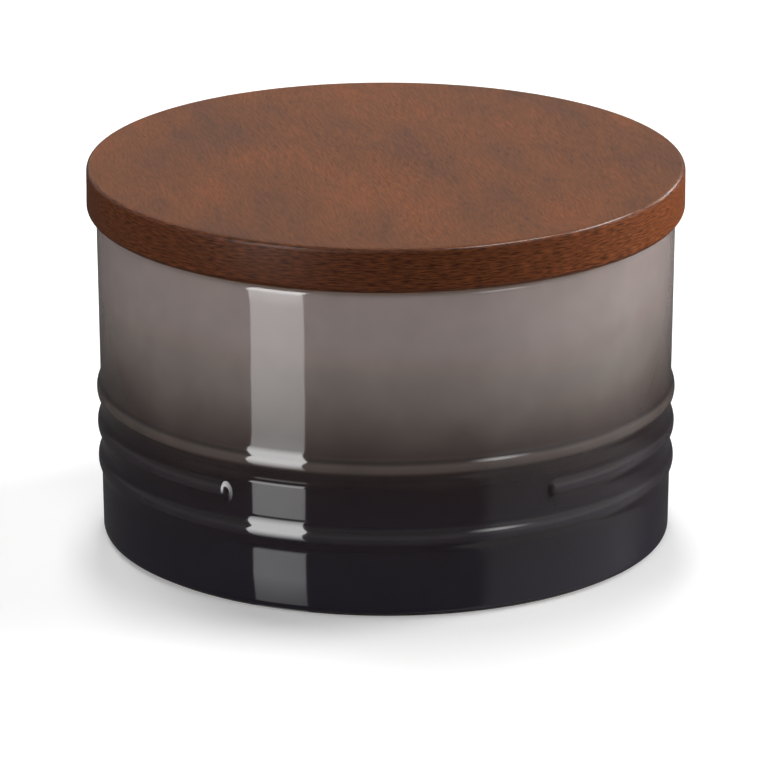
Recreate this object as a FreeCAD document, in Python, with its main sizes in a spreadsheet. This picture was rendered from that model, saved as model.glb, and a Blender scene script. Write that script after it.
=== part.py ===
import FreeCAD, Part
import math
import os
import Sketcher

# Storage jar of glazed stoneware with a flat wooden lid, in millimetres.
# The jar stands on its foot at z = 0 with its axis on +Z, and the break in its middle ring faces -Y.

# Driving dimensions: name, size, meaning.
SIZES = (
    ("rim_diameter", 116.1, "outside of the wall at the rim"),
    ("wall_draft", 0.9, "how far the wall draws in from the rim to the bottom edge"),
    ("jar_height", 67.6, "ground to rim"),
    ("wall_thickness", 5.1, "wall at the rim"),
    ("floor_thickness", 6.0, "dish of the underside to the floor of the jar"),
    ("rim_round", 1.6, "rounding of the rim, inside and outside"),
    ("floor_round", 8.0, "rounding where the inside wall meets the floor"),
    ("base_round", 1.5, "rounding of the outer bottom edge"),
    ("foot_height", 0.6, "bare foot ring below the bottom edge"),
    ("foot_inset", 2.2, "outside of the wall to the side of the foot"),
    ("foot_width", 5.0, "flat width of the foot ring"),
    ("dish_depth", 1.6, "hollow of the underside above the ground"),
    ("dish_slope", 1.8, "width of the slope from the foot up to the dish"),
    ("ring_level", 23.43, "centre of the middle ring above the ground"),
    ("ring_pitch", 7.3, "spacing of the three rings"),
    ("ring_height", 0.74, "how far the rings stand out of the wall"),
    ("ring_radius", 3.4, "radius of the rings' rounded section"),
    ("ring_run", 4.8, "radius where the glaze runs from a ring to the wall"),
    ("break_angle", 66.2, "break of the middle ring, tip to tip, in degrees"),
    ("nose_length", 1.8, "length of the rounded tips of the broken ring"),
    ("lid_overhang", 1.95, "how far the board reaches past the rim"),
    ("board_thickness", 9.3, "wooden board"),
    ("board_top_round", 1.05, "rounding of the board's upper edge"),
    ("board_under_round", 1.4, "rounding of the board's lower edge"),
    ("plug_clearance", 2.8, "plug to the wall of the mouth"),
    ("plug_shoulder", 1.8, "board to the channel for the seal"),
    ("plug_lip", 2.2, "channel for the seal to the plug's underside"),
    ("plug_chamfer", 1.2, "lower edge of the plug"),
    ("channel_depth", 2.2, "channel for the seal in the plug's edge"),
    ("seal_clearance", 0.1, "seal to the channel, all round"),
    ("seal_proud", 0.5, "how far the seal's band stands out of the plug's edge"),
    ("mouth_clearance", 0.2, "tips of the seal's fins to the mouth"),
    ("fin_root", 1.3, "thickness of a fin where it leaves the band"),
    ("fin_tip", 0.7, "thickness of a fin at its rounded tip"),
    ("fin_rise", 0.7, "how far a fin climbs from its root to its tip"),
    ("fin_gap", 0.7, "gap between the roots of the two fins"),
    ("fin_margin", 0.4, "edge of the band to the nearest fin"),
)

# Sizes that follow from the driving ones: name, formula. The lid's heights are above the plug's underside.
WORKED = (
    ("rim_r", "=Sizes.rim_diameter / 2"),
    ("base_r", "=rim_r - Sizes.wall_draft"),
    ("mouth_r", "=rim_r - Sizes.wall_thickness"),
    ("foot_outer_r", "=base_r - Sizes.foot_inset"),
    ("foot_inner_r", "=foot_outer_r - Sizes.foot_width"),
    ("dish_r", "=foot_inner_r - Sizes.dish_slope"),
    ("base_flat_r", "=base_r - Sizes.base_round"),
    ("base_edge_z", "=Sizes.foot_height + Sizes.base_round"),
    ("rim_edge_z", "=Sizes.jar_height - Sizes.rim_round"),
    ("rim_outer_r", "=rim_r - Sizes.rim_round"),
    ("rim_inner_r", "=mouth_r + Sizes.rim_round"),
    ("over_rim_z", "=Sizes.jar_height + Sizes.rim_round"),
    ("floor_z", "=Sizes.dish_depth + Sizes.floor_thickness"),
    ("floor_edge_z", "=floor_z + Sizes.floor_round"),
    ("floor_r", "=mouth_r - Sizes.floor_round"),
    ("wall_slope", "=Sizes.wall_draft / (rim_edge_z - base_edge_z)"),
    ("ring_upper_z", "=Sizes.ring_level + Sizes.ring_pitch"),
    ("ring_lower_z", "=Sizes.ring_level - Sizes.ring_pitch"),
    ("ring_sunk", "=Sizes.ring_radius - Sizes.ring_height"),
    ("ring_upper_r", "=base_r + wall_slope * (ring_upper_z - base_edge_z) - ring_sunk"),
    ("ring_middle_r", "=base_r + wall_slope * (Sizes.ring_level - base_edge_z) - ring_sunk"),
    ("ring_lower_r", "=base_r + wall_slope * (ring_lower_z - base_edge_z) - ring_sunk"),
    ("nose_reach", "=Sizes.nose_length * Sizes.ring_radius / sqrt(Sizes.ring_radius ^ 2 - ring_sunk ^ 2)"),
    ("nose_angle", "=Sizes.nose_length / (ring_middle_r + ring_sunk) * 180 / pi"),
    ("ring_sweep", "=360 - Sizes.break_angle - 2 * nose_angle"),
    ("tip_angle", "=Sizes.break_angle / 2 + nose_angle"),
    ("board_r", "=rim_r + Sizes.lid_overhang"),
    ("plug_r", "=mouth_r - Sizes.plug_clearance"),
    ("band_low", "=Sizes.plug_lip + Sizes.seal_clearance"),
    ("lower_fin_under", "=band_low + Sizes.fin_margin"),
    ("lower_fin_over", "=lower_fin_under + Sizes.fin_root"),
    ("upper_fin_under", "=lower_fin_over + Sizes.fin_gap"),
    ("upper_fin_over", "=upper_fin_under + Sizes.fin_root"),
    ("band_top", "=upper_fin_over + Sizes.fin_rise + Sizes.fin_margin"),
    ("lower_tip_under", "=lower_fin_under + Sizes.fin_rise"),
    ("lower_tip_over", "=lower_tip_under + Sizes.fin_tip"),
    ("upper_tip_under", "=upper_fin_under + Sizes.fin_rise"),
    ("upper_tip_over", "=upper_tip_under + Sizes.fin_tip"),
    ("fin_tip_r", "=Sizes.fin_tip / sqrt(2)"),
    ("fin_bulge", "=fin_tip_r - Sizes.fin_tip / 2"),
    ("fin_reach_r", "=mouth_r - Sizes.mouth_clearance - fin_bulge"),
    ("channel_top", "=band_top + Sizes.seal_clearance"),
    ("channel_r", "=plug_r - Sizes.channel_depth"),
    ("band_inner_r", "=channel_r + Sizes.seal_clearance"),
    ("band_outer_r", "=plug_r + Sizes.seal_proud"),
    ("plug_depth", "=channel_top + Sizes.plug_shoulder"),
    ("plug_z", "=Sizes.jar_height - plug_depth"),
)

# A sketch counts the points of a side up from 1 and its own two axes down from -1.
POINT = {name: number for number, name in enumerate(("start", "end", "centre"), start=1)}
AXIS = {name: -number for number, name in enumerate(("across", "upright"), start=1)}
ORIGIN = (AXIS["across"], POINT["start"])

SAMPLES = 5
EXACT = 0.02

doc = FreeCAD.newDocument("storage_jar")


def fill_sheet(name, rows):
    """Make a sheet with one named cell for each row."""
    sheet = doc.addObject("Spreadsheet::Sheet", name)
    for line, row in enumerate(rows, start=1):
        for column, text in zip("ABC", row):
            sheet.set("%s%d" % (column, line), str(text))
        sheet.setAlias("B%d" % line, row[0])
    doc.recompute()
    return sheet


sizes = fill_sheet("Sizes", SIZES)
worked = fill_sheet("Worked", WORKED)
driving = {row[0] for row in SIZES}


def cell(name):
    """Formula that reads a named cell of either sheet."""
    return ("Sizes." if name in driving else "Worked.") + name


def value(name):
    """Present number in a named cell, or 0 for a coordinate that lies on an axis."""
    if name is None:
        return 0.0
    return float((sizes if name in driving else worked).get(name))


def new_body(label):
    """Start a sub-part."""
    body = doc.addObject("PartDesign::Body", label)
    body.Label = label
    return body


def new_sketch(body, name, role):
    """Start a sketch on one of the sub-part's own origin planes."""
    plane = next(item for item in body.Origin.OriginFeatures if item.Role == role)
    sketch = body.newObject("Sketcher::SketchObject", name)
    sketch.AttachmentSupport = [(plane, "")]
    sketch.MapMode = "FlatFace"
    return sketch


def bind(sketch, kind, geometry, name):
    """Add a driving constraint and tie it to a named cell."""
    index = sketch.addConstraint(Sketcher.Constraint(kind, *geometry, value(name)))
    sketch.setExpression("Constraints[%d]" % index, cell(name))


def place_point(sketch, geometry, point, across, up):
    """Fix a point by its named distance from the upright axis and its named height. None lies on the axis."""
    for name, kind, axis in ((across, "DistanceX", "upright"), (up, "DistanceY", "across")):
        if name is None:
            sketch.addConstraint(Sketcher.Constraint("PointOnObject", geometry, point, AXIS[axis]))
        else:
            bind(sketch, kind, (*ORIGIN, geometry, point), name)


def arc_between(first, last, radius, turn):
    """Arc from one point to another that turns left on its way for turn 1 and right for turn -1."""
    chord = last - first
    inward = FreeCAD.Vector(-chord.y, chord.x, 0).normalize() * turn
    centre = (first + last) / 2 + inward * math.sqrt(max(radius ** 2 - (chord.Length / 2) ** 2, 0))
    ends = (first, last) if turn > 0 else (last, first)
    start, finish = (math.atan2(end.y - centre.y, end.x - centre.x) for end in ends)
    if finish < start:
        finish += 2 * math.pi
    return Part.ArcOfCircle(Part.Circle(centre, FreeCAD.Vector(0, 0, 1), radius), start, finish)


def draw_outline(sketch, corners):
    """Draw a closed outline through named points.

    A corner is (across, up), reached by a straight side, or (across, up, radius, turn), reached by an arc.
    """
    points = [FreeCAD.Vector(value(corner[0]), value(corner[1]), 0) for corner in corners]
    first_ends = []
    last_ends = []
    for index, corner in enumerate(corners):
        before, here = points[index - 1], points[index]
        is_arc = len(corner) > 2
        if is_arc:
            side = sketch.addGeometry(arc_between(before, here, value(corner[2]), corner[3]), False)
            bind(sketch, "Radius", (side,), corner[2])
        else:
            side = sketch.addGeometry(Part.LineSegment(before, here), False)
        forward = not is_arc or corner[3] > 0
        first_ends.append((side, POINT["start" if forward else "end"]))
        last_ends.append((side, POINT["end" if forward else "start"]))
    for index, corner in enumerate(corners):
        following = first_ends[(index + 1) % len(corners)]
        sketch.addConstraint(Sketcher.Constraint("Coincident", *last_ends[index], *following))
        place_point(sketch, *last_ends[index], corner[0], corner[1])


def draw_circle(sketch, radius, across=None, up=None):
    """Draw a circle of named radius about a named point, or about the origin."""
    centre = FreeCAD.Vector(value(across), value(up), 0)
    index = sketch.addGeometry(Part.Circle(centre, FreeCAD.Vector(0, 0, 1), value(radius)), False)
    place_point(sketch, index, POINT["centre"], across, up)
    bind(sketch, "Radius", (index,), radius)


def turn_round(body, kind, name, sketch):
    """Turn a sketch about the upright axis, into solid for a Revolution or out of it for a Groove."""
    before = 0 if body.Shape.isNull() else body.Shape.Volume
    feature = body.newObject("PartDesign::" + kind, name)
    feature.Profile = sketch
    feature.ReferenceAxis = (sketch, ["V_Axis"])
    feature.Angle = 360
    doc.recompute()
    if (body.Shape.Volume > before) != (kind == "Revolution"):
        raise ValueError(name + " changes nothing")
    return feature


def pad_disc(body, name, radius, thickness):
    """Pad a round disc of named radius and thickness up from the sub-part's ground."""
    sketch = new_sketch(body, name + "_outline", "XY_Plane")
    draw_circle(sketch, radius)
    pad = body.newObject("PartDesign::Pad", name)
    pad.Profile = sketch
    pad.setExpression("Length", cell(thickness))
    doc.recompute()
    return pad


def dress_edges(body, kind, name, base, test, setting, size):
    """Round (Fillet, Radius) or bevel (Chamfer, Size) by a named size the edges that pass a test."""
    edges = ["Edge%d" % number for number, edge in enumerate(base.Shape.Edges, start=1) if test(edge)]
    feature = body.newObject("PartDesign::" + kind, name)
    feature.Base = (base, edges)
    feature.setExpression(setting, cell(size))
    doc.recompute()
    return feature


def at_level(height):
    """Test for an edge that lies level at a height."""
    return lambda edge: all(abs(point.z - height) < EXACT for point in edge.discretize(SAMPLES))


def is_on_wall(point):
    """Whether a point lies on the outside wall of the jar."""
    wall = value("base_r") + value("wall_slope") * (point.z - value("base_edge_z"))
    return abs(math.hypot(point.x, point.y) - wall) < EXACT


def is_ring_edge(edge):
    """Whether an edge is where a ring leaves the wall, and not the wall's own upright seam."""
    points = edge.discretize(SAMPLES)
    reach = value("ring_pitch") + value("ring_radius")
    around = edge.BoundBox.XLength > EXACT and edge.BoundBox.YLength > EXACT
    return around and all(abs(point.z - value("ring_level")) < reach and is_on_wall(point) for point in points)


def add_ring_tip(body, name, hand):
    """Round off one end of the broken ring with an ellipsoid that carries on its section."""
    angle = cell("tip_angle")
    radius = cell("ring_middle_r")
    tip = body.newObject("PartDesign::AdditiveEllipsoid", name)
    for setting, size in (("Radius1", "ring_radius"), ("Radius2", "ring_radius"), ("Radius3", "nose_reach")):
        tip.setExpression(setting, cell(size))
    tip.setExpression("Placement.Base.x", "%d * %s * sin(%s)" % (hand, radius, angle))
    tip.setExpression("Placement.Base.y", "-%s * cos(%s)" % (radius, angle))
    tip.setExpression("Placement.Base.z", cell("ring_level"))
    tip.setExpression("Placement.Rotation.Angle", "%d * %s - 90" % (hand, angle))
    doc.recompute()
    return tip


def make_jar_body():
    """Stoneware pot: turned wall with foot and dish, three raised rings, then the inside turned out."""
    body = new_body("jar_body")
    wall = new_sketch(body, "wall_outline", "XZ_Plane")
    draw_outline(wall, (
        (None, "dish_depth"),
        ("dish_r", "dish_depth"),
        ("foot_inner_r", None),
        ("foot_outer_r", None),
        ("foot_outer_r", "foot_height"),
        ("base_flat_r", "foot_height"),
        ("base_r", "base_edge_z", "base_round", 1),
        ("rim_r", "rim_edge_z"),
        ("rim_outer_r", "jar_height", "rim_round", 1),
        (None, "jar_height"),
    ))
    turn_round(body, "Revolution", "turned_wall", wall)

    # The upper and lower rings go all the way round.
    whole = new_sketch(body, "whole_ring_sections", "YZ_Plane")
    draw_circle(whole, "ring_radius", "ring_upper_r", "ring_upper_z")
    draw_circle(whole, "ring_radius", "ring_lower_r", "ring_lower_z")
    turn_round(body, "Revolution", "whole_rings", whole)

    # The middle ring is centred on the back and stops short of the front on either side.
    middle = new_sketch(body, "broken_ring_section", "YZ_Plane")
    draw_circle(middle, "ring_radius", "ring_middle_r", "ring_level")
    broken = turn_round(body, "Revolution", "broken_ring", middle)
    broken.Midplane = True
    broken.setExpression("Angle", cell("ring_sweep"))
    add_ring_tip(body, "left_ring_tip", -1)
    rings = add_ring_tip(body, "right_ring_tip", 1)
    dress_edges(body, "Fillet", "ring_glaze_run", rings, is_ring_edge, "Radius", "ring_run")

    inside = new_sketch(body, "inside_outline", "XZ_Plane")
    draw_outline(inside, (
        (None, "floor_z"),
        ("floor_r", "floor_z"),
        ("mouth_r", "floor_edge_z", "floor_round", 1),
        ("mouth_r", "rim_edge_z"),
        ("rim_inner_r", "jar_height", "rim_round", -1),
        ("rim_inner_r", "over_rim_z"),
        (None, "over_rim_z"),
    ))
    turn_round(body, "Groove", "turned_inside", inside)
    return body


def make_lid_board():
    """Wooden board that rests on the rim, with its two edges eased."""
    body = new_body("lid_board")
    body.setExpression("Placement.Base.z", cell("jar_height"))
    disc = pad_disc(body, "board_disc", "board_r", "board_thickness")
    top = at_level(value("board_thickness"))
    eased = dress_edges(body, "Fillet", "board_top_edge", disc, top, "Radius", "board_top_round")
    dress_edges(body, "Fillet", "board_under_edge", eased, at_level(0), "Radius", "board_under_round")
    return body


def make_lid_plug():
    """Wooden disc glued under the board, with a channel round its edge for the seal."""
    body = new_body("lid_plug")
    body.setExpression("Placement.Base.z", cell("plug_z"))
    disc = pad_disc(body, "plug_disc", "plug_r", "plug_depth")
    dress_edges(body, "Chamfer", "plug_lead", disc, at_level(0), "Size", "plug_chamfer")
    channel = new_sketch(body, "channel_outline", "XZ_Plane")
    draw_outline(channel, (
        ("channel_r", "plug_lip"),
        ("mouth_r", "plug_lip"),
        ("mouth_r", "channel_top"),
        ("channel_r", "channel_top"),
    ))
    turn_round(body, "Groove", "seal_channel", channel)
    return body


def make_lid_seal():
    """Silicone ring: a flat band in the plug's channel with two fins that climb to the mouth."""
    body = new_body("lid_seal")
    body.setExpression("Placement.Base.z", cell("plug_z"))
    corners = [("band_inner_r", "band_low"), ("band_outer_r", "band_low")]
    for fin in ("lower", "upper"):
        corners += [
            ("band_outer_r", fin + "_fin_under"),
            ("fin_reach_r", fin + "_tip_under"),
            ("fin_reach_r", fin + "_tip_over", "fin_tip_r", 1),
            ("band_outer_r", fin + "_fin_over"),
        ]
    corners += [("band_outer_r", "band_top"), ("band_inner_r", "band_top")]
    section = new_sketch(body, "seal_section", "XZ_Plane")
    draw_outline(section, corners)
    turn_round(body, "Revolution", "seal_ring", section)
    return body


sub_parts = [make_jar_body(), make_lid_board(), make_lid_plug(), make_lid_seal()]
doc.recompute()

for item in doc.Objects:
    if "Invalid" in item.State or "Error" in item.State:
        raise ValueError(item.Name + " failed")
for sub_part in sub_parts:
    shape = sub_part.Shape
    if shape.isNull() or not shape.isValid() or len(shape.Solids) != 1:
        raise ValueError(sub_part.Label + " is not one valid solid")

os.makedirs("parts", exist_ok=True)
for sub_part in sub_parts:
    sub_part.Shape.exportStep("parts/%s.step" % sub_part.Label)
    print("%s: %.0f cubic mm" % (sub_part.Label, sub_part.Shape.Volume))
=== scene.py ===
import logging
import math
from dataclasses import dataclass
from enum import Enum
from typing import Any

import bmesh
import bpy
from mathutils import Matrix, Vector


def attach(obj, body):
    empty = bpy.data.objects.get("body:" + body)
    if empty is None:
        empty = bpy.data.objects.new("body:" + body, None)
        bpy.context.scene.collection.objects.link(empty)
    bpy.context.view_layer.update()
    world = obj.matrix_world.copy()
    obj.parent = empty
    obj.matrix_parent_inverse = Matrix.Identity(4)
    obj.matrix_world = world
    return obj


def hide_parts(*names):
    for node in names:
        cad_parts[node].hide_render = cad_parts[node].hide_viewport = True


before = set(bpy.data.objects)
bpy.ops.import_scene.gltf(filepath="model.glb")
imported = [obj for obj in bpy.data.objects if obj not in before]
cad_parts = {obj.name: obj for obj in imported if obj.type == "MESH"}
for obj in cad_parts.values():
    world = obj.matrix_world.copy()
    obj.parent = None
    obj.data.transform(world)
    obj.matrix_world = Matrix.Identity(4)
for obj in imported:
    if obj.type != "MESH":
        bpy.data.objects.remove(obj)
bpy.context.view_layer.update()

# Sizes are in millimetres and angles in degrees, unless a name says otherwise. Blender works in metres.
MM = 0.001
# Side of the picture in pixels, and of the camera's sensor.
IMAGE_SIDE = 768
SENSOR = 36.0
# A full turn from +X, and where in it the front comes.
FULL_TURN = 360.0
FRONT = 270.0
# Height of the jar's middle, which every light faces.
MIDDLE = 40.0
# Points of a turned surface that are nearer to each other than this are one point.
MERGE = 0.002
# Most of a noise pattern's values lie between these two.
NOISE_LOW, NOISE_HIGH = 0.3, 0.7

log = logging.getLogger("storage_jar")

Rgba = tuple[float, float, float, float]
Socket = bpy.types.NodeSocket


def linear(code: str) -> Rgba:
    """Turn an sRGB hex colour into linear light.

    Args:
        code: six hex digits.

    Returns:
        Linear red, green and blue, with an alpha of 1.
    """
    shares = [int(code[place:place + 2], 16) / 255 for place in (0, 2, 4)]
    red, green, blue = (s / 12.92 if s <= 0.04045 else ((s + 0.055) / 1.055) ** 2.4 for s in shares)
    return red, green, blue, 1.0


def add_node(tree: bpy.types.NodeTree, kind: str, inputs: dict | None = None,
             stops: tuple = (), **settings: Any) -> bpy.types.Node:
    """Add a node with its settings, and fill or link its inputs.

    Args:
        tree: node tree that gets the node.
        kind: the node's type, without its ShaderNode prefix.
        inputs: for each input, by name or number, a value or the output that feeds it.
        stops: places and hex colours of a colour ramp.
        settings: properties of the node.

    Returns:
        The new node.
    """
    node = tree.nodes.new("ShaderNode" + kind)
    for name, setting in settings.items():
        setattr(node, name, setting)
    for key, source in (inputs or {}).items():
        if isinstance(source, Socket):
            tree.links.new(source, node.inputs[key])
        else:
            node.inputs[key].default_value = source
    for number, (place, code) in enumerate(stops):
        elements = node.color_ramp.elements
        stop = elements[number] if number < 2 else elements.new(place)
        stop.position, stop.color = place, linear(code)
    return node


@dataclass(frozen=True)
class Finish:
    """A real material, painted with nodes on the places of the pieces that have it."""

    name: str

    def make(self) -> bpy.types.Material:
        """Make the material.

        Returns:
            The material, ready for a piece.
        """
        material = bpy.data.materials.new(self.name)
        material.use_nodes = True
        tree = material.node_tree
        tree.nodes.clear()
        shader = add_node(tree, "BsdfPrincipled")
        add_node(tree, "OutputMaterial", {"Surface": shader.outputs["BSDF"]})
        self.paint(tree, shader)
        return material

    def paint(self, tree: bpy.types.NodeTree, shader: bpy.types.Node) -> None:
        """Paint the material's colour, gloss and relief.

        Args:
            tree: the material's nodes.
            shader: its Principled shader.
        """
        raise NotImplementedError

    @staticmethod
    def places(tree: bpy.types.NodeTree) -> Socket:
        """Give the places on the piece in millimetres, in the jar's own frame."""
        here = add_node(tree, "TexCoord").outputs["Object"]
        return add_node(tree, "VectorMath", {0: here, "Scale": 1 / MM}, operation="SCALE").outputs[0]


# A fired glaze is glass: it mirrors lamps as sharp glints, and looks pale where it runs thin; painted highlights and
# painted shade are added round the rings and on the rim.
@dataclass(frozen=True)
class GradedGlaze(Finish):
    """Stoneware under a poured glossy glaze: warm grey at the rim, sooty black at the base, thin on ring crests, with
    painted highlights and shade.
    """

    # The pot's own sizes, which place the colours.
    jar_height: float
    base_radius: float
    base_level: float
    wall_slope: float
    mouth_radius: float
    ring_level: float
    ring_pitch: float
    # Height and colour of the glaze on the wall, from the base to the rim.
    bands: tuple = ((0.0, "25222a"), (18.7, "241f24"), (26.8, "241d1f"), (31.3, "372e2d"), (35.3, "473e3b"),
                    (39.4, "584f4b"), (43.4, "685f5b"), (47.8, "726a66"), (52.1, "7f736f"), (56.5, "867b78"),
                    (67.6, "8a7e7a"))
    # The same over the upper side of a ring's crest, where the glaze breaks thin and a highlight is painted on.
    crests_thin_and_lit: tuple = ((0.0, "2b282d"), (24.3, "322d31"), (27.0, "3e3735"), (30.0, "4f4743"), (33.3, "5b514c"))
    # Painted shade in the creases where a ring leaves the wall.
    crease: str = "201919"
    inside: str = "8f8780"
    # Painted highlight on the rim's top.
    rim_highlight: str = "94826f"
    clay: str = "b9a58e"
    # How far the wandering edge between the colours wanders, and over what length.
    cloud_size: float = 22.0
    cloud_lift: float = 1.6
    # How far out of the plain wall the thin glaze and painted highlight start and end, and how much of the crest's
    # colour they get.
    thin_lit_from: float = 0.25
    thin_lit_to: float = 0.65
    thinning_and_highlight: float = 0.85
    # Over which heights, from the crest, it sets in.
    crest_from: float = -0.9
    crest_to: float = 0.1
    # The same for the painted shade in the crease beside a ring.
    crease_shade_from: float = 0.02
    crease_shade_to: float = 0.2
    crease_shading: float = 0.45
    mottle_size: float = 6.0
    mottling: float = 0.04
    # How far under the rim's top the painted highlight starts and ends, and how much of its colour it gets.
    rim_highlight_from: float = 0.9
    rim_highlight_to: float = 0.2
    rim_highlighting: float = 0.7
    # How far outside the mouth the lining starts and ends, and the height that parts it from the underside.
    lining_from: float = 1.5
    lining_to: float = 0.3
    lining_level: float = 5.0
    foot_line: float = 0.04
    foot_blur: float = 0.03
    peel_size: float = 7.0
    peel_depth: float = 0.012
    roughness: float = 0.05
    clay_roughness: float = 0.85
    ior: float = 1.5

    def paint(self, tree: bpy.types.NodeTree, shader: bpy.types.Node) -> None:
        """Grade the glaze by height, line the inside and leave the foot bare.

        Args:
            tree: the material's nodes.
            shader: its Principled shader.
        """
        here = self.places(tree)
        height = add_node(tree, "SeparateXYZ", {0: here}).outputs["Z"]
        level = add_node(tree, "VectorMath", {0: here, 1: (1, 1, 0)}, operation="MULTIPLY").outputs[0]
        radius = add_node(tree, "VectorMath", {0: level}, operation="LENGTH").outputs["Value"]
        lined = self.line_inside(tree, self.pour(tree, here, height, radius), height, radius)

        # The foot is wiped bare before firing, so it is matt, pale clay.
        bare = add_node(tree, "MapRange", {"Value": height, "From Min": self.foot_line + self.foot_blur,
                                           "From Max": self.foot_line - self.foot_blur}).outputs[0]
        colour = add_node(tree, "Mix", {0: bare, 6: lined, 7: linear(self.clay)}, data_type="RGBA").outputs[2]
        gloss = add_node(tree, "MapRange", {"Value": bare, "To Min": self.roughness,
                                            "To Max": self.clay_roughness}).outputs[0]

        # The melt sets in slow ripples, which bend the glints a little.
        peel = add_node(tree, "TexNoise", {"Vector": here, "Scale": 1 / self.peel_size, "Detail": 1.0}).outputs[0]
        relief = add_node(tree, "Bump", {"Height": peel, "Distance": self.peel_depth * MM, "Strength": 1.0})
        tree.links.new(colour, shader.inputs["Base Color"])
        tree.links.new(gloss, shader.inputs["Roughness"])
        tree.links.new(relief.outputs[0], shader.inputs["Normal"])
        shader.inputs["IOR"].default_value = self.ior

    def pour(self, tree: bpy.types.NodeTree, here: Socket, height: Socket, radius: Socket) -> Socket:
        """Colour the outside, from the base to the rim.

        Args:
            tree: the material's nodes.
            here: places on the pot.
            height: their heights.
            radius: their distances from the axis.

        Returns:
            The colour of the poured glaze.
        """
        # The colours meet along a soft, slightly wandering edge.
        clouds = add_node(tree, "TexNoise", {"Vector": here, "Scale": 1 / self.cloud_size, "Detail": 3.0}).outputs[0]
        lift = add_node(tree, "MapRange", {"Value": clouds, "From Min": NOISE_LOW, "From Max": NOISE_HIGH,
                                           "To Min": -self.cloud_lift, "To Max": self.cloud_lift}).outputs[0]
        lifted = add_node(tree, "Math", {0: height, 1: lift}, operation="ADD").outputs[0]
        share = add_node(tree, "Math", {0: lifted, 1: self.jar_height}, operation="DIVIDE").outputs[0]
        on_wall, on_crest_thin_and_lit = (
            add_node(tree, "ValToRGB", {0: share}, tuple((mm / self.jar_height, code) for mm, code in bands)).outputs[0]
            for bands in (self.bands, self.crests_thin_and_lit))

        # The glaze breaks thin over the upper side of each ring, which also gets a painted highlight, and painted shade
        # darkens the crease on each side where a ring leaves the wall.
        drawn_in = add_node(tree, "Math", {0: height, 1: -self.wall_slope, 2: radius},
                            operation="MULTIPLY_ADD").outputs[0]
        plain = self.base_radius - self.base_level * self.wall_slope
        thin, crease_shade = (
            add_node(tree, "MapRange", {"Value": drawn_in, "From Min": plain + start, "From Max": plain + end,
                                        "To Max": most}, interpolation_type="SMOOTHSTEP").outputs[0]
            for start, end, most in ((self.thin_lit_from, self.thin_lit_to, self.thinning_and_highlight),
                                     (self.crease_shade_from, self.crease_shade_to, self.crease_shading)))
        over_ring = add_node(tree, "Math", {0: height, 1: self.ring_level}, operation="SUBTRACT").outputs[0]
        off_crest = add_node(tree, "Math", {0: over_ring, 1: self.ring_pitch / 2, 2: -self.ring_pitch / 2},
                             operation="WRAP").outputs[0]
        upper = add_node(tree, "MapRange", {"Value": off_crest, "From Min": self.crest_from,
                                            "From Max": self.crest_to}, interpolation_type="SMOOTHSTEP").outputs[0]
        # Thin glaze and a painted highlight on the upper side of each ring.
        crest = add_node(tree, "Math", {0: thin, 1: upper}, operation="MULTIPLY").outputs[0]
        crease_shaded = add_node(tree, "Mix", {0: crease_shade, 6: on_wall, 7: linear(self.crease)}, data_type="RGBA").outputs[2]
        ringed = add_node(tree, "Mix", {0: crest, 6: crease_shaded, 7: on_crest_thin_and_lit}, data_type="RGBA").outputs[2]

        # Firing leaves it softly mottled.
        mottle = add_node(tree, "TexNoise", {"Vector": here, "Scale": 1 / self.mottle_size, "Detail": 1.0}).outputs[0]
        shade = add_node(tree, "MapRange", {"Value": mottle, "From Min": NOISE_LOW, "From Max": NOISE_HIGH,
                                            "To Min": 1 - self.mottling, "To Max": 1 + self.mottling}).outputs[0]
        return add_node(tree, "VectorMath", {0: ringed, "Scale": shade}, operation="SCALE").outputs[0]

    def line_inside(self, tree: bpy.types.NodeTree, poured: Socket, height: Socket, radius: Socket) -> Socket:
        """Paint a highlight on the rim's top, and give the inside a paler glaze of its own.

        Args:
            tree: the material's nodes.
            poured: the colour of the glaze outside.
            height: heights of the places on the pot.
            radius: their distances from the axis.

        Returns:
            The colour of the glaze all over the pot.
        """
        # Painted highlight: the glaze turns paler towards the rim's top.
        rim_highlight_mask = add_node(tree, "MapRange", {"Value": height, "From Min": self.jar_height - self.rim_highlight_from,
                                               "From Max": self.jar_height - self.rim_highlight_to,
                                               "To Max": self.rim_highlighting}).outputs[0]
        rim_highlighted = add_node(tree, "Mix", {0: rim_highlight_mask, 6: poured, 7: linear(self.rim_highlight)},
                          data_type="RGBA").outputs[2]
        within = add_node(tree, "MapRange", {"Value": radius, "From Min": self.mouth_radius + self.lining_from,
                                             "From Max": self.mouth_radius + self.lining_to}).outputs[0]
        above = add_node(tree, "Math", {0: height, 1: self.lining_level}, operation="GREATER_THAN").outputs[0]
        lining = add_node(tree, "Math", {0: within, 1: above}, operation="MULTIPLY").outputs[0]
        return add_node(tree, "Mix", {0: lining, 6: rim_highlighted, 7: linear(self.inside)}, data_type="RGBA").outputs[2]


class Grain(Enum):
    """Turn about the upright axis that lays the wood's grain along the pattern's own length."""

    BOARD = -10.0
    PLUG = 70.0
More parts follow.
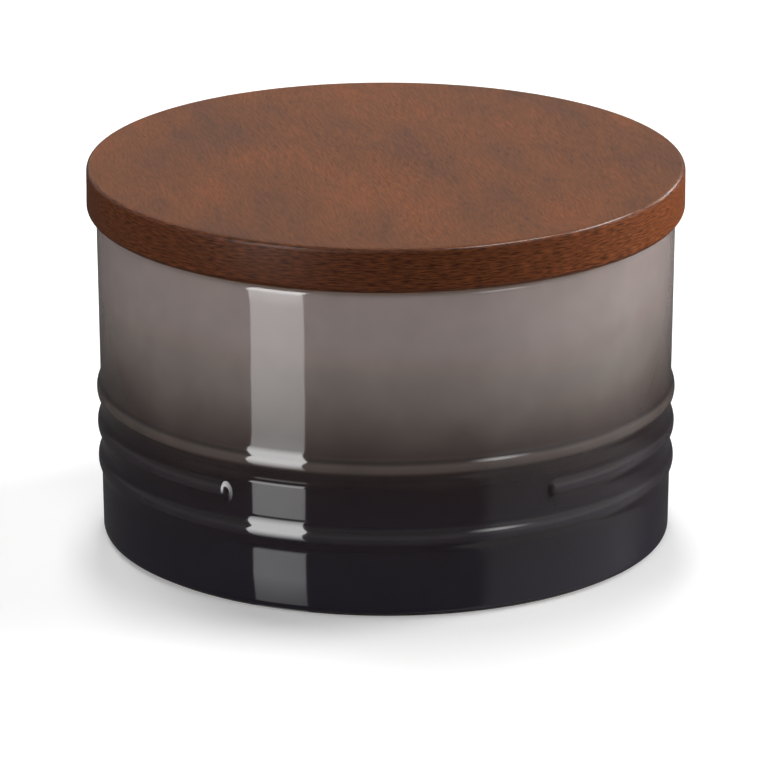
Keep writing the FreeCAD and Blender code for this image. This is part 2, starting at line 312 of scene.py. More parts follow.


# Planed and oiled, the face looks satin and softly clouded, with short dashes that run one way. The turned edge drinks
# more oil and looks dark and scored, with painted shade on its underside and painted light on its right side, and
# handling leaves a bright line along the arris between the two.
@dataclass(frozen=True)
class OiledHardwood(Finish):
    """Oiled reddish-brown hardwood: warm and dusky flames, fine dashes, dark edges and a polished arris."""

    grain: Grain = Grain.BOARD
    warm: str = "874f2d"
    dusky: str = "65422f"
    pore: str = "2b140d"
    oiled: str = "63351b"
    patch_across: float = 17.0
    patch_along: float = 40.0
    flame_across: float = 3.2
    flame_along: float = 17.0
    # Real fibres, pores and cutter's scratches are about 0.1 mm wide, which is finer than a pixel of the render, so
    # they are drawn as coarse as they need to show.
    fibre_across: float = 0.34
    fibre_along: float = 4.2
    pore_across: float = 0.7
    pore_along: float = 3.4
    scratch_around: float = 2.4
    scratch_tall: float = 0.3
    sway_size: float = 38.0
    sway: float = 7.0
    edge_radius: float = 60.0
    # How much a flame counts beside a patch, and the sums of both at which the wood is dusky and warm.
    flame_weight: float = 0.5
    dusky_sum: float = 0.45
    warm_sum: float = 1.05
    # The part of a streak's noise that is drawn, and how much it darkens and lightens the face and the edge.
    streak_low: float = 0.25
    streak_high: float = 0.75
    face_contrast: float = 0.36
    edge_contrast: float = 0.8
    # On the side grain, the end grain and the face: how much the oil leaves of the colour, and the sheen.
    soak: tuple[float, float, float] = (1.05, 0.6, 1.0)
    sheen: tuple[float, float, float] = (0.15, 0.08, 0.42)
    # Painted light: how much paler the edge is on its right than on its left.
    right_light: float = 0.3
    # Upward parts of the surface normal: where the painted shade on the underside begins and ends, and how much of the
    # colour it leaves there.
    under_shade_full: float = -0.75
    under_shade_none: float = -0.2
    under_shade_level: float = 0.4
    # Squares of it: where the edge ends, and where the face begins.
    edge_level: float = 0.55
    face_level: float = 0.95
    # The same on the arris: its middle, and how far from there its polish ends and is full.
    arris: float = 0.7
    polish_none: float = 0.28
    polish_full: float = 0.2
    polish_sheen: float = 0.4
    # The share of cells without a pore, the largest pore and its soft edge, in cells, and how dark it is.
    poreless: float = 0.25
    pore_reach: float = 0.34
    pore_blur: float = 0.15
    pore_dark: float = 0.4
    pore_depth: float = 0.03
    relief: float = 0.5
    roughness: float = 0.4
    arris_roughness: float = 0.2
    ior: float = 1.48

    def paint(self, tree: bpy.types.NodeTree, shader: bpy.types.Node) -> None:
        """Lay flames, fibres and pores along the grain, scratches round the edge and polish on the arris.

        Args:
            tree: the material's nodes.
            shader: its Principled shader.
        """
        here = self.places(tree)
        turn = (0, 0, math.radians(self.grain.value))
        patches, flames, fibres, cells = self.lay_grain(tree, here, turn)
        fibre = add_node(tree, "TexNoise", {"Vector": fibres, "Scale": 1.0, "Detail": 2.0}).outputs[0]
        normal = add_node(tree, "TexCoord").outputs["Normal"]
        facing = add_node(tree, "Mapping", {"Vector": normal, "Rotation": turn}, vector_type="POINT").outputs[0]
        shares = add_node(tree, "VectorMath", {0: facing, 1: facing}, operation="MULTIPLY").outputs[0]
        soak, sheen, level = (
            add_node(tree, "VectorMath", {0: shares, 1: each}, operation="DOT_PRODUCT").outputs["Value"]
            for each in (self.soak, self.sheen, (0, 0, 1)))
        upward = add_node(tree, "SeparateXYZ", {0: normal}).outputs["Z"]

        face = self.colour_face(tree, patches, flames, fibre)
        edge = self.colour_edge(tree, here, facing, soak, upward)
        flat = add_node(tree, "MapRange", {"Value": level, "From Min": self.edge_level,
                                           "From Max": self.face_level}).outputs[0]
        shaded = add_node(tree, "Mix", {0: flat, 6: edge, 7: face}, data_type="RGBA").outputs[2]

        # Pores are short dashes along the grain and dots across it.
        cell = add_node(tree, "TexVoronoi", {"Vector": cells, "Scale": 1.0})
        chance = add_node(tree, "SeparateColor", {0: cell.outputs["Color"]}).outputs[0]
        reach = add_node(tree, "MapRange", {"Value": chance, "From Min": self.poreless,
                                            "To Max": self.pore_reach}).outputs[0]
        inner = add_node(tree, "Math", {0: reach, 1: cell.outputs["Distance"]}, operation="SUBTRACT").outputs[0]
        pores = add_node(tree, "MapRange", {"Value": inner, "From Max": self.pore_blur}).outputs[0]
        depth = add_node(tree, "Math", {0: pores, 1: self.pore_dark}, operation="MULTIPLY").outputs[0]
        colour = add_node(tree, "Mix", {0: depth, 6: shaded, 7: linear(self.pore)}, data_type="RGBA").outputs[2]
        surface = add_node(tree, "Math", {0: pores, 1: -1.0, 2: fibre}, operation="MULTIPLY_ADD").outputs[0]
        relief = add_node(tree, "Bump", {"Height": surface, "Distance": self.pore_depth * MM,
                                         "Strength": self.relief})

        # Handling polishes the arris between the face and the edge.
        off_arris = add_node(tree, "Math", {0: upward, 1: self.arris}, operation="SUBTRACT").outputs[0]
        beside = add_node(tree, "Math", {0: off_arris}, operation="ABSOLUTE").outputs[0]
        polish = add_node(tree, "MapRange", {"Value": beside, "From Min": self.polish_none,
                                             "From Max": self.polish_full}).outputs[0]
        gloss = add_node(tree, "MapRange", {"Value": polish, "To Min": self.roughness,
                                            "To Max": self.arris_roughness}).outputs[0]
        shine = add_node(tree, "Math", {0: polish, 1: self.polish_sheen, 2: sheen},
                         operation="MULTIPLY_ADD").outputs[0]
        tree.links.new(colour, shader.inputs["Base Color"])
        tree.links.new(gloss, shader.inputs["Roughness"])
        tree.links.new(shine, shader.inputs["Specular IOR Level"])
        tree.links.new(relief.outputs[0], shader.inputs["Normal"])
        shader.inputs["IOR"].default_value = self.ior

    def lay_grain(self, tree: bpy.types.NodeTree, here: Socket, turn: tuple) -> tuple[Socket, ...]:
        """Stretch the wood's patterns along its swaying grain.

        Args:
            tree: the material's nodes.
            here: places on the piece.
            turn: turn that lays the grain along the patterns.

        Returns:
            Places in the patterns of patches, flames, fibres and pores.
        """
        turned = add_node(tree, "Mapping", {"Vector": here, "Rotation": turn}, vector_type="POINT").outputs[0]
        drift = add_node(tree, "TexNoise", {"Vector": turned, "Scale": 1 / self.sway_size, "Detail": 1.0})
        swayed = add_node(tree, "VectorMath", {0: drift.outputs["Color"], 1: (self.sway, 0.0, self.sway), 2: turned},
                          operation="MULTIPLY_ADD").outputs[0]
        return tuple(
            add_node(tree, "Mapping", {"Vector": swayed, "Scale": (1 / across, 1 / along, 1 / across)},
                     vector_type="POINT").outputs[0]
            for across, along in ((self.patch_across, self.patch_along), (self.flame_across, self.flame_along),
                                  (self.fibre_across, self.fibre_along), (self.pore_across, self.pore_along)))

    def colour_face(self, tree: bpy.types.NodeTree, patches: Socket, flames: Socket, fibre: Socket) -> Socket:
        """Mix dusky and warm wood where the grain dips and rises, with lighter and darker dashes in it.

        Args:
            tree: the material's nodes.
            patches: places in the pattern of patches.
            flames: places in the pattern of flames.
            fibre: the pattern of fibres.

        Returns:
            The colour of the planed face.
        """
        patch, flame = (add_node(tree, "TexNoise", {"Vector": place, "Scale": 1.0, "Detail": 2.0}).outputs[0]
                        for place in (patches, flames))
        mixed = add_node(tree, "Math", {0: flame, 1: self.flame_weight, 2: patch},
                         operation="MULTIPLY_ADD").outputs[0]
        warmth = add_node(tree, "MapRange", {"Value": mixed, "From Min": self.dusky_sum,
                                             "From Max": self.warm_sum}).outputs[0]
        wood = add_node(tree, "Mix", {0: warmth, 6: linear(self.dusky), 7: linear(self.warm)},
                        data_type="RGBA").outputs[2]
        shade = add_node(tree, "MapRange", {"Value": fibre, "From Min": self.streak_low, "From Max": self.streak_high,
                                            "To Min": 1 - self.face_contrast,
                                            "To Max": 1 + self.face_contrast}).outputs[0]
        return add_node(tree, "VectorMath", {0: wood, "Scale": shade}, operation="SCALE").outputs[0]

    def colour_edge(self, tree: bpy.types.NodeTree, here: Socket, facing: Socket, soak: Socket,
                    upward: Socket) -> Socket:
        """Darken the turned edge with oil, its end grain most, add painted shade on the underside and painted light on
        the right, and score it round.

        Args:
            tree: the material's nodes.
            here: places on the piece.
            facing: surface normals, turned to the grain.
            soak: how much the oil leaves of the colour.
            upward: upward part of the surface normal.

        Returns:
            The colour of the edge.
        """
        # Painted shade on the downward-facing underside of the edge.
        under = add_node(tree, "MapRange", {"Value": upward, "From Min": self.under_shade_full,
                                            "From Max": self.under_shade_none, "To Min": self.under_shade_level}).outputs[0]
        # Measured from the front, so that the pattern's two ends meet at the back.
        place = add_node(tree, "SeparateXYZ", {0: here}).outputs
        forward = add_node(tree, "Math", {0: place["Y"], 1: -1.0}, operation="MULTIPLY").outputs[0]
        around = add_node(tree, "Math", {0: place["X"], 1: forward}, operation="ARCTAN2").outputs[0]
        on_edge = add_node(tree, "CombineXYZ", {"X": around, "Y": place["Z"]}).outputs[0]
        stretch = (self.edge_radius / self.scratch_around, 1 / self.scratch_tall, 0)
        unrolled = add_node(tree, "VectorMath", {0: on_edge, 1: stretch}, operation="MULTIPLY").outputs[0]
        scratch = add_node(tree, "TexNoise", {"Vector": unrolled, "Scale": 1.0, "Detail": 2.0}).outputs[0]
        shade = add_node(tree, "MapRange", {"Value": scratch, "From Min": self.streak_low,
                                            "From Max": self.streak_high, "To Min": 1 - self.edge_contrast,
                                            "To Max": 1 + self.edge_contrast}).outputs[0]
        # Painted light: the edge is paler on its right side and darker on its left, as if lit from the right.
        across = add_node(tree, "SeparateXYZ", {0: facing}).outputs["X"]
        soak_and_right_light = add_node(tree, "Math", {0: across, 1: self.right_light, 2: soak}, operation="MULTIPLY_ADD").outputs[0]
        soak_and_painted_light = add_node(tree, "Math", {0: soak_and_right_light, 1: under}, operation="MULTIPLY").outputs[0]
        scored_soak_and_light = add_node(tree, "Math", {0: shade, 1: soak_and_painted_light}, operation="MULTIPLY").outputs[0]
        return add_node(tree, "VectorMath", {0: linear(self.oiled)[:3], "Scale": scored_soak_and_light},
                        operation="SCALE").outputs[0]


# Silicone looks milky and soft, because light soaks into it, and has no sharp glints.
@dataclass(frozen=True)
class SoftSilicone(Finish):
    """Moulded food-grade silicone: milky, matt and a little dusty, with light soaking into its fins."""

    milk: str = "d9d5cc"
    dust: str = "c9c4ba"
    # Real dust is far finer than a pixel, so it is drawn in specks that can show.
    dust_size: float = 1.2
    dusty: float = 0.4
    clean: float = 0.6
    dust_depth: float = 0.01
    relief: float = 0.5
    roughness: float = 0.5
    roughness_spread: float = 0.1
    ior: float = 1.41
    soak: float = 0.3
    soak_depth: float = 1.5
    soak_colours: tuple[float, float, float] = (1.0, 0.9, 0.8)

    def paint(self, tree: bpy.types.NodeTree, shader: bpy.types.Node) -> None:
        """Cloud the milky colour a little and let light soak in.

        Args:
            tree: the material's nodes.
            shader: its Principled shader.
        """
        here = self.places(tree)
        specks = add_node(tree, "TexNoise", {"Vector": here, "Scale": 1 / self.dust_size, "Detail": 3.0}).outputs[0]
        colour = add_node(tree, "ValToRGB", {0: specks}, ((self.dusty, self.dust), (self.clean, self.milk))).outputs[0]
        gloss = add_node(tree, "MapRange", {"Value": specks, "To Min": self.roughness - self.roughness_spread,
                                            "To Max": self.roughness + self.roughness_spread}).outputs[0]
        relief = add_node(tree, "Bump", {"Height": specks, "Distance": self.dust_depth * MM,
                                         "Strength": self.relief})
        tree.links.new(colour, shader.inputs["Base Color"])
        tree.links.new(gloss, shader.inputs["Roughness"])
        tree.links.new(relief.outputs[0], shader.inputs["Normal"])
        shader.inputs["IOR"].default_value = self.ior
        shader.inputs["Subsurface Weight"].default_value = self.soak
        shader.inputs["Subsurface Radius"].default_value = self.soak_colours
        shader.inputs["Subsurface Scale"].default_value = self.soak_depth * MM


# Studio paper is flat white and keeps a soft shadow.
@dataclass(frozen=True)
class SeamlessPaper(Finish):
    """Matt white studio paper with a faint tooth, a little overexposed to the eye that looks at it."""

    white: str = "fcfcfc"
    shade: str = "fafafa"
    # The tooth of real paper is finer than a pixel, so it is drawn coarser.
    tooth_size: float = 3.0
    overexposed: float = 0.27
    roughness: float = 0.9

    def paint(self, tree: bpy.types.NodeTree, shader: bpy.types.Node) -> None:
        """Give the paper its white, its tooth and its overexposure.

        Args:
            tree: the material's nodes.
            shader: its Principled shader.
        """
        here = self.places(tree)
        tooth = add_node(tree, "TexNoise", {"Vector": here, "Scale": 1 / self.tooth_size, "Detail": 2.0}).outputs[0]
        colour = add_node(tree, "ValToRGB", {0: tooth}, ((NOISE_LOW, self.shade), (NOISE_HIGH, self.white))).outputs[0]
        # Only what looks at the paper, straight or through gloss or glass, finds it overexposed: that lights nothing.
        rays = add_node(tree, "LightPath").outputs
        mirrored = add_node(tree, "Math", {0: rays["Is Glossy Ray"], 1: rays["Is Transmission Ray"]},
                            operation="MAXIMUM").outputs[0]
        seen = add_node(tree, "Math", {0: rays["Is Camera Ray"], 1: mirrored}, operation="MAXIMUM").outputs[0]
        excess = add_node(tree, "Math", {0: seen, 1: self.overexposed}, operation="MULTIPLY").outputs[0]
        tree.links.new(colour, shader.inputs["Base Color"])
        tree.links.new(excess, shader.inputs["Emission Strength"])
        shader.inputs["Emission Color"].default_value = linear(self.white)
        shader.inputs["Roughness"].default_value = self.roughness
        shader.inputs["Specular IOR Level"].default_value = 0.0


class Section:
    """Half section of a turned piece, drawn with a pen and then turned about the upright axis."""

    def __init__(self, radius: float, height: float) -> None:
        """Put the pen down at a radius and a height."""
        self.mesh = bmesh.new()
        self.pen = self.first = self.mesh.verts.new((radius * MM, 0, height * MM))

    def line(self, radius: float, height: float, parts: int = 1) -> "Section":
        """Draw a straight side.

        Args:
            radius: where the side ends, from the axis.
            height: where the side ends, from the ground.
            parts: how many equal parts the side is cut into.

        Returns:
            The section, for the next stroke.
        """
        start, end = self.pen.co.copy(), Vector((radius * MM, 0, height * MM))
        for part in range(1, parts + 1):
            self.pen = bmesh.ops.extrude_vert_indiv(self.mesh, verts=[self.pen])["verts"][0]
            self.pen.co = start.lerp(end, part / parts)
        return self

    def arc(self, radius: float, height: float, angle: float, steps: int) -> "Section":
        """Swing the pen about a centre.

        Args:
            radius: the centre, from the axis.
            height: the centre, from the ground.
            angle: how far the pen swings, outwards from below being positive.
            steps: how many straight parts the arc has.

        Returns:
            The section, for the next stroke.
        """
        drawn = bmesh.ops.spin(self.mesh, geom=[self.pen], cent=(radius * MM, 0, height * MM), axis=(0, -1, 0),
                               dvec=(0, 0, 0), angle=math.radians(angle), steps=steps)
        self.pen = drawn["geom_last"][0]
        return self

    def close(self) -> "Section":
        """Join the last point to the first."""
        self.mesh.edges.new((self.pen, self.first))
        return self

    def turn(self, stages: tuple[tuple[float, int], ...]) -> bmesh.types.BMesh:
        """Turn the section all the way round.

        Args:
            stages: angle and number of steps of each stage, which add up to a full turn.

        Returns:
            The closed surface, facing outwards.
        """
        moving = self.mesh.verts[:] + self.mesh.edges[:]
        for angle, steps in stages:
            made = bmesh.ops.spin(self.mesh, geom=moving, cent=(0, 0, 0), axis=(0, 0, 1), dvec=(0, 0, 0),
                                  angle=math.radians(angle), steps=steps, use_merge=len(stages) == 1)
            moving = made["geom_last"]
        bmesh.ops.remove_doubles(self.mesh, verts=self.mesh.verts, dist=MERGE * MM)
        bmesh.ops.recalc_face_normals(self.mesh, faces=self.mesh.faces)
        return self.mesh


def add_piece(name: str, mesh: bmesh.types.BMesh, material: bpy.types.Material,
              crease: float = 40.0) -> bpy.types.Object:
    """Make an object of a finished mesh.

    Args:
        name: name of the piece.
        mesh: its surface, which is used up.
        material: its finish.
        crease: edges sharper than this stay sharp.

    Returns:
        The object, at the origin.
    """
    data = bpy.data.meshes.new(name)
    for face in mesh.faces:
        face.smooth = True
    mesh.to_mesh(data)
    mesh.free()
    data.set_sharp_from_angle(angle=math.radians(crease))
    data.materials.append(material)
    piece = bpy.data.objects.new(name, data)
    bpy.context.scene.collection.objects.link(piece)
    log.info("%s: %d faces", name, len(data.polygons))
    return piece


@dataclass
class Jar:
    """Stoneware pot with three raised rings, the middle one broken at the front."""

    rim_radius: float = 58.05
    base_radius: float = 57.15
    mouth_radius: float = 52.95
    height: float = 67.6
    rim_round: float = 1.6
    base_round: float = 1.5
    foot_height: float = 0.6
    foot_outer: float = 54.95
    foot_inner: float = 49.95
    dish_radius: float = 48.15
    dish_depth: float = 1.6
    floor_level: float = 7.6
    floor_round: float = 8.0
    ring_levels: tuple[float, float, float] = (16.13, 23.43, 30.73)
    ring_height: float = 0.74
    ring_radius: float = 3.4
    ring_run: float = 4.8
    break_angle: float = 66.2
    nose: float = 1.8
    # How finely the section is drawn: roundings, a ring's crown, the corner inside, and the straight sides.
    round_steps: int = 8
    crown_steps: int = 14
    corner_steps: int = 12
    between_parts: int = 2
    wall_parts: int = 12
    inner_parts: int = 6
    # How finely it is turned: round the back, in the break and over the last stretch, and near each tip of the ring.
    back_steps: int = 190
    break_steps: int = 50
    last_steps: int = 48
    fine_reach: float = 2.3
    fine_step: float = 0.16

    def __post_init__(self) -> None:
        """Work out the plain wall's ends and how a ring meets it."""
        self.wall_low, self.shoulder = self.foot_height + self.base_round, self.height - self.rim_round
        self.flank = math.acos(1 - self.ring_height / (self.ring_radius + self.ring_run))
        self.ring_half = (self.ring_radius + self.ring_run) * math.sin(self.flank)
        self.crown_half = self.ring_radius * math.sin(self.flank)
        self.chord_half = math.sqrt(self.ring_height * (2 * self.ring_radius - self.ring_height))

    def wall(self, height: float) -> float:
        """Radius of the plain wall at a height."""
        share = (height - self.wall_low) / (self.shoulder - self.wall_low)
        return self.base_radius + (self.rim_radius - self.base_radius) * share

    def proud(self, away: float) -> float:
        """Tell how far a ring stands out of the wall.

        Args:
            away: distance from the middle of the ring, along the wall.

        Returns:
            How far the glaze stands proud there.
        """
        if away < self.crown_half:
            return math.sqrt(self.ring_radius ** 2 - away ** 2) - self.ring_radius + self.ring_height
        left = max(self.ring_half - away, 0.0)
        return self.ring_run - math.sqrt(self.ring_run ** 2 - left ** 2)

    def glaze(self) -> GradedGlaze:
        """Fit the glaze to the pot.

        Returns:
            The glaze, with the sizes that place its colours.
        """
        low, middle, _ = self.ring_levels
        slope = (self.rim_radius - self.base_radius) / (self.shoulder - self.wall_low)
        return GradedGlaze("glazed_stoneware", jar_height=self.height, base_radius=self.base_radius,
                           base_level=self.wall_low, wall_slope=slope, mouth_radius=self.mouth_radius,
                           ring_level=middle, ring_pitch=middle - low)

    def section(self) -> Section:
        """Draw the pot's half section, from the middle of its underside round to its floor.

        Returns:
            The section, with all three rings.
        """
        flank = math.degrees(self.flank)
        pen = Section(0, self.dish_depth)
        pen.line(self.dish_radius, self.dish_depth).line(self.foot_inner, 0).line(self.foot_outer, 0)
        pen.line(self.foot_outer, self.foot_height)
        edge = self.base_radius - self.base_round
        pen.line(edge, self.foot_height).arc(edge, self.wall_low, 90, self.round_steps)
        for level in self.ring_levels:
            wall = self.wall(level)
            pen.line(wall, level - self.ring_half, self.between_parts)
            pen.arc(wall + self.ring_run, level - self.ring_half, -flank, self.round_steps)
            pen.arc(wall + self.ring_height - self.ring_radius, level, 2 * flank, self.crown_steps)
            pen.arc(wall + self.ring_run, level + self.ring_half, -flank, self.round_steps)
        pen.line(self.rim_radius, self.shoulder, self.wall_parts)
        pen.arc(self.rim_radius - self.rim_round, self.shoulder, 90, self.round_steps)
        pen.line(self.mouth_radius + self.rim_round, self.height)
        pen.arc(self.mouth_radius + self.rim_round, self.shoulder, 90, self.round_steps)
        corner = self.floor_level + self.floor_round
        pen.line(self.mouth_radius, corner, self.inner_parts)
        pen.arc(self.mouth_radius - self.floor_round, corner, -90, self.corner_steps)
        return pen.line(0, self.floor_level)

    def break_ring(self, mesh: bmesh.types.BMesh) -> None:
        """Take the middle ring back to the wall at the front, with rounded tips.

        Args:
            mesh: the turned pot.
        """
        level = self.ring_levels[1]
        for vert in mesh.verts:
            radius, height = vert.co.xy.length / MM, vert.co.z / MM
            lift = abs(height - level)
            if lift > self.ring_half or radius < self.base_radius - MERGE:
                continue
            off_front = abs(math.degrees(math.atan2(vert.co.x, -vert.co.y)))
            past = math.radians(self.break_angle / 2 - off_front) * radius + self.nose
            if past > 0:
                lengthened = past * self.chord_half / self.nose
                vert.co.xy *= (self.wall(height) + self.proud(math.hypot(lengthened, lift))) / radius

    def build(self) -> bpy.types.Object:
        """Turn the pot, break its middle ring and put it in place of the solid.

        Returns:
            The glazed pot.
        """
        tip = self.break_angle / 2
        near, far = tip - self.fine_reach, tip + self.fine_reach
        by_tip = (far - near, round(2 * self.fine_reach / self.fine_step))
        mesh = self.section().turn(((FRONT - far, self.back_steps), by_tip, (2 * near, self.break_steps), by_tip,
                                    (FULL_TURN - FRONT - far, self.last_steps)))
        self.break_ring(mesh)
        pot = add_piece("glazed_pot", mesh, self.glaze().make())
        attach(pot, "jar")
        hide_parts("jar_body")
        return pot


@dataclass
class Lid:
    """Flat wooden board that overhangs the rim, with a plug glued under it."""

    rim_level: float = 67.6
    top_level: float = 76.9
    board_radius: float = 60.0
    top_round: float = 1.05
    under_round: float = 1.4
    plug_radius: float = 50.15
    plug_level: float = 58.6
    plug_chamfer: float = 1.2
    channel_radius: float = 47.95
    channel_low: float = 60.8
    channel_high: float = 65.8
    top_steps: int = 8
    under_steps: int = 6
    steps: int = 256

    def build_board(self) -> bpy.types.Object:
        """Turn the board with its eased edges.

        Returns:
            The board.
        """
        low, high = self.rim_level + self.under_round, self.top_level - self.top_round
        pen = Section(0, self.rim_level)
        pen.line(self.board_radius - self.under_round, self.rim_level)
        pen.arc(self.board_radius - self.under_round, low, 90, self.under_steps).line(self.board_radius, high)
        pen.arc(self.board_radius - self.top_round, high, 90, self.top_steps).line(0, self.top_level)
        mesh = pen.turn(((FULL_TURN, self.steps),))
        board = add_piece("wooden_board", mesh, OiledHardwood("oiled_hardwood").make())
        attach(board, "lid")
        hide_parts("lid_board")
        return board

    def build_plug(self) -> bpy.types.Object:
        """Turn the plug with the channel that holds the seal.

        Returns:
            The plug.
        """
        pen = Section(0, self.plug_level)
        pen.line(self.plug_radius - self.plug_chamfer, self.plug_level)
        pen.line(self.plug_radius, self.plug_level + self.plug_chamfer).line(self.plug_radius, self.channel_low)
        pen.line(self.channel_radius, self.channel_low).line(self.channel_radius, self.channel_high)
        pen.line(self.plug_radius, self.channel_high).line(self.plug_radius, self.rim_level)
        mesh = pen.line(0, self.rim_level).turn(((FULL_TURN, self.steps),))
        plug = add_piece("wooden_plug", mesh, OiledHardwood("oiled_hardwood_plug", grain=Grain.PLUG).make())
        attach(plug, "lid")
        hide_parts("lid_plug")
        return plug


@dataclass
class Seal:
    """Silicone ring in the plug's channel, with two fins that climb to the mouth."""

    inner: float = 48.05
    outer: float = 50.65
    low: float = 60.9
    high: float = 65.7
    fin_reach: float = 52.605
    # The lower and upper side of each fin, at its root and at its tip.
    fin_roots: tuple = ((61.3, 62.6), (63.3, 64.6))
    fin_tips: tuple = ((62.0, 62.7), (64.0, 64.7))
    tip_steps: int = 5
    steps: int = 160

    def build(self) -> bpy.types.Object:
        """Turn the seal.

        Returns:
            The seal.
        """
        pen = Section(self.inner, self.low).line(self.outer, self.low)
        for (root_low, root_high), (tip_low, tip_high) in zip(self.fin_roots, self.fin_tips):
            pen.line(self.outer, root_low).line(self.fin_reach, tip_low)
            half = (tip_high - tip_low) / 2
            pen.arc(self.fin_reach - half, tip_low + half, 90, self.tip_steps).line(self.outer, root_high)
        pen.line(self.outer, self.high).line(self.inner, self.high).close()
        mesh = pen.turn(((FULL_TURN, self.steps),))
        seal = add_piece("silicone_seal", mesh, SoftSilicone("moulded_silicone").make())
        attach(seal, "seal")
        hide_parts("lid_seal")
        return seal


class Reach(Enum):
    """What a studio light does: soft shading, or glints in the gloss."""

    SHADING = "shading"
    GLINTS = "glints"


@dataclass(frozen=True)
class Softbox:
    """A rectangular studio light that faces the jar.

    Its sizes are in metres. Its strength is how bright its face looks when white paper in full light is 1.
    """

    name: str
    azimuth: float
    elevation: float
    away: float
    wide: float
    tall: float
    strength: float
    reach: Reach = Reach.SHADING
    # The share of its face over which it fades towards every edge, or brightens from its lower edge upwards.
    feather: float = 0.0
    dawn: float = 0.0

    def hang(self) -> None:
        """Hang the light where it belongs, turned to the middle of the jar."""
        light = bpy.data.lights.new(self.name, "AREA")
        light.shape, light.size, light.size_y = "RECTANGLE", self.wide, self.tall
        light.energy = self.strength * math.pi * (self.wide * self.tall)
        if self.feather or self.dawn:
            self.soften(light)
        lamp = bpy.data.objects.new(self.name, light)
        around, up = math.radians(self.azimuth), math.radians(self.elevation)
        heading = Vector((math.cos(up) * math.sin(around), -math.cos(up) * math.cos(around), math.sin(up)))
        lamp.location = Vector((0, 0, MIDDLE * MM)) + heading * self.away
        lamp.rotation_euler = heading.to_track_quat("Z", "Y").to_euler()
        lamp.visible_diffuse = self.reach is Reach.SHADING
        lamp.visible_glossy = self.reach is Reach.GLINTS
        bpy.context.scene.collection.objects.link(lamp)

    def soften(self, light: bpy.types.Light) -> None:
        """Let the light's face fade towards its edges, or brighten from its lower edge upwards.

        Args:
            light: the light.
        """
        light.use_nodes = True
        tree = light.node_tree
        tree.nodes.clear()
        # Places on the face run from 0 to 1, with its middle at a half.
        across = add_node(tree, "SeparateXYZ", {0: add_node(tree, "NewGeometry").outputs["Parametric"]}).outputs
        fade = 1.0
        for axis in ("X", "Y") if self.feather else ():
            centred = add_node(tree, "Math", {0: across[axis], 1: 0.5}, operation="SUBTRACT").outputs[0]
            off = add_node(tree, "Math", {0: centred}, operation="ABSOLUTE").outputs[0]
            side = add_node(tree, "MapRange", {"Value": off, "From Min": 0.5, "From Max": 0.5 - self.feather},
                            interpolation_type="SMOOTHSTEP").outputs[0]
            fade = add_node(tree, "Math", {0: fade, 1: side}, operation="MULTIPLY").outputs[0]
        if self.dawn:
            rising = add_node(tree, "MapRange", {"Value": across["Y"], "From Max": self.dawn},
                              interpolation_type="SMOOTHSTEP").outputs[0]
            fade = add_node(tree, "Math", {0: fade, 1: rising}, operation="MULTIPLY").outputs[0]
        face = add_node(tree, "Emission", {"Strength": fade})
        add_node(tree, "OutputLight", {"Surface": face.outputs[0]})


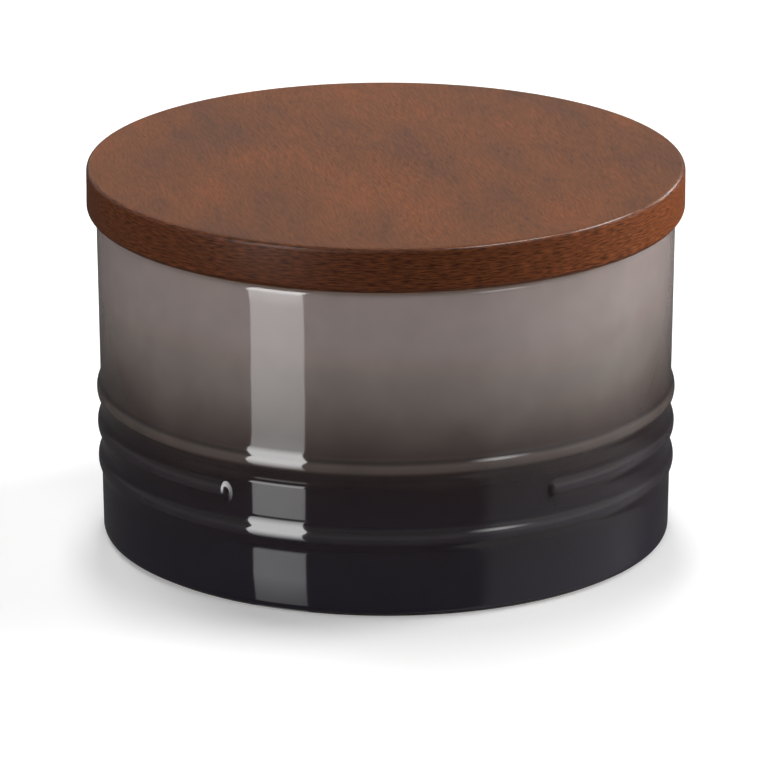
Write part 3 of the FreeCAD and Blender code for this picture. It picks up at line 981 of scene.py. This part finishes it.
@dataclass
class Studio:
    """White paper floor, softboxes, the dim room around them and the camera. Distances are in metres."""

    focal_pixels: float = 8444.0
    distance: float = 1.62338
    eye_height: float = 0.55022
    pitch: float = 17.758
    azimuth: float = -0.65
    # How many pixels the jar's axis lies to the right of the picture's middle.
    axis_offset: float = 1.85
    clip_far: float = 100.0
    floor_half: float = 8.0
    # How bright the room and the glow on its right look, above and below the horizon.
    room_colour: str = "ffffff"
    room_above: float = 0.25
    room_below: float = 0.06
    glow_above: float = 0.5
    glow_below: float = 0.25
    # Between which azimuths the glow lies, and half the width of its soft ends.
    glow_from: float = 41.0
    glow_to: float = 122.0
    glow_rise: float = 5.0
    glow_fall: float = 15.0
    # Upward parts of a direction: where the lower room ends and the upper one begins, and where the glow fades out.
    horizon_low: float = -0.1
    horizon_high: float = 0.15
    glow_low: float = 0.35
    glow_high: float = 0.75
    lights: tuple[Softbox, ...] = (
        Softbox("top_back", 180.0, 76.0, 2.2, 0.25, 1.0, 23.0),
        Softbox("front_high", 0.0, 45.0, 2.2, 1.0, 1.0, 2.6),
        Softbox("front_low", 5.0, 12.0, 1.8, 0.8, 0.4, 2.2),
        Softbox("left_low", -60.0, 7.0, 1.6, 0.8, 0.25, 11.5),
        Softbox("left_back", -145.0, 40.0, 1.8, 0.8, 0.8, 4.7),
        Softbox("right_back", 105.0, 35.0, 1.8, 0.8, 0.8, 5.6),
        Softbox("right_low", 99.0, 7.0, 1.6, 1.2, 0.35, 20.0),
        Softbox("key", 47.0, 24.0, 1.8, 0.95, 0.55, 6.8, Reach.GLINTS, feather=0.5),
        Softbox("edge_high", 72.0, 61.0, 1.8, 1.0, 0.2, 12.0, Reach.GLINTS),
        Softbox("edge_right", 110.0, 42.0, 1.8, 1.0, 0.2, 11.0, Reach.GLINTS),
        Softbox("edge_back", 141.0, 20.0, 1.8, 0.8, 0.2, 4.5, Reach.GLINTS),
        Softbox("strip", -43.7, 1.7, 1.2, 0.48, 1.65, 11.0, Reach.GLINTS, dawn=0.62),
    )

    def lay_floor(self) -> None:
        """Lay the paper, which the gloss doesn't show: the glaze mirrors a dim ground."""
        mesh = bmesh.new()
        bmesh.ops.create_grid(mesh, x_segments=1, y_segments=1, size=self.floor_half)
        floor = add_piece("paper_floor", mesh, SeamlessPaper("seamless_paper").make())
        floor.visible_glossy = False

    def light_room(self) -> None:
        """Hang the lights in a dim room with a broad glow on the right, which only the gloss shows."""
        for box in self.lights:
            box.hang()
        world = bpy.data.worlds.new("studio")
        bpy.context.scene.world = world
        world.use_nodes = True
        world.cycles_visibility.diffuse = False
        tree = world.node_tree
        tree.nodes.clear()
        heading = add_node(tree, "SeparateXYZ", {0: add_node(tree, "TexCoord").outputs["Generated"]}).outputs
        forward = add_node(tree, "Math", {0: heading["Y"], 1: -1.0}, operation="MULTIPLY").outputs[0]
        turn = add_node(tree, "Math", {0: heading["X"], 1: forward}, operation="ARCTAN2").outputs[0]
        starts, ends = (
            add_node(tree, "MapRange", {"Value": turn, "From Min": math.radians(none), "From Max": math.radians(full)},
                     interpolation_type="SMOOTHSTEP").outputs[0]
            for none, full in ((self.glow_from - self.glow_rise, self.glow_from + self.glow_rise),
                               (self.glow_to + self.glow_fall, self.glow_to - self.glow_fall)))
        glow = add_node(tree, "Math", {0: starts, 1: ends}, operation="MULTIPLY").outputs[0]
        room, glowing = (
            add_node(tree, "MapRange", {"Value": heading["Z"], "From Min": self.horizon_low,
                                        "From Max": self.horizon_high, "To Min": below, "To Max": above},
                     interpolation_type="SMOOTHSTEP").outputs[0]
            for below, above in ((self.room_below, self.room_above), (self.glow_below, self.glow_above)))
        high = add_node(tree, "MapRange", {"Value": heading["Z"], "From Min": self.glow_high,
                                           "From Max": self.glow_low}, interpolation_type="SMOOTHSTEP").outputs[0]
        lobe = add_node(tree, "Math", {0: glow, 1: high}, operation="MULTIPLY").outputs[0]
        level = add_node(tree, "Math", {0: lobe, 1: glowing, 2: room}, operation="MULTIPLY_ADD").outputs[0]
        sky = add_node(tree, "Background", {"Color": linear(self.room_colour), "Strength": level})
        add_node(tree, "OutputWorld", {"Surface": sky.outputs[0]})

    def set_camera(self) -> None:
        """Put the camera where the picture was taken from."""
        lens = bpy.data.cameras.new("camera")
        lens.sensor_width = SENSOR
        lens.lens = self.focal_pixels / IMAGE_SIDE * SENSOR
        lens.shift_x = -self.axis_offset / IMAGE_SIDE
        lens.clip_end = self.clip_far
        camera = bpy.data.objects.new("camera", lens)
        turn = math.radians(self.azimuth)
        camera.location = (math.sin(turn) * self.distance, -math.cos(turn) * self.distance, self.eye_height)
        camera.rotation_euler = (math.radians(90 - self.pitch), 0, turn)
        bpy.context.scene.collection.objects.link(camera)
        bpy.context.scene.camera = camera
        bpy.context.scene.view_settings.view_transform = "Standard"

    def build(self) -> None:
        """Set up the floor, the lights and the camera."""
        self.lay_floor()
        self.light_room()
        self.set_camera()


def main() -> None:
    """Build the jar, its lid and its seal, and set up the studio."""
    logging.basicConfig(level=logging.INFO, format="%(name)s: %(message)s")
    Jar().build()
    lid = Lid()
    lid.build_board()
    lid.build_plug()
    Seal().build()
    Studio().build()


if __name__ == "__main__":
    main()
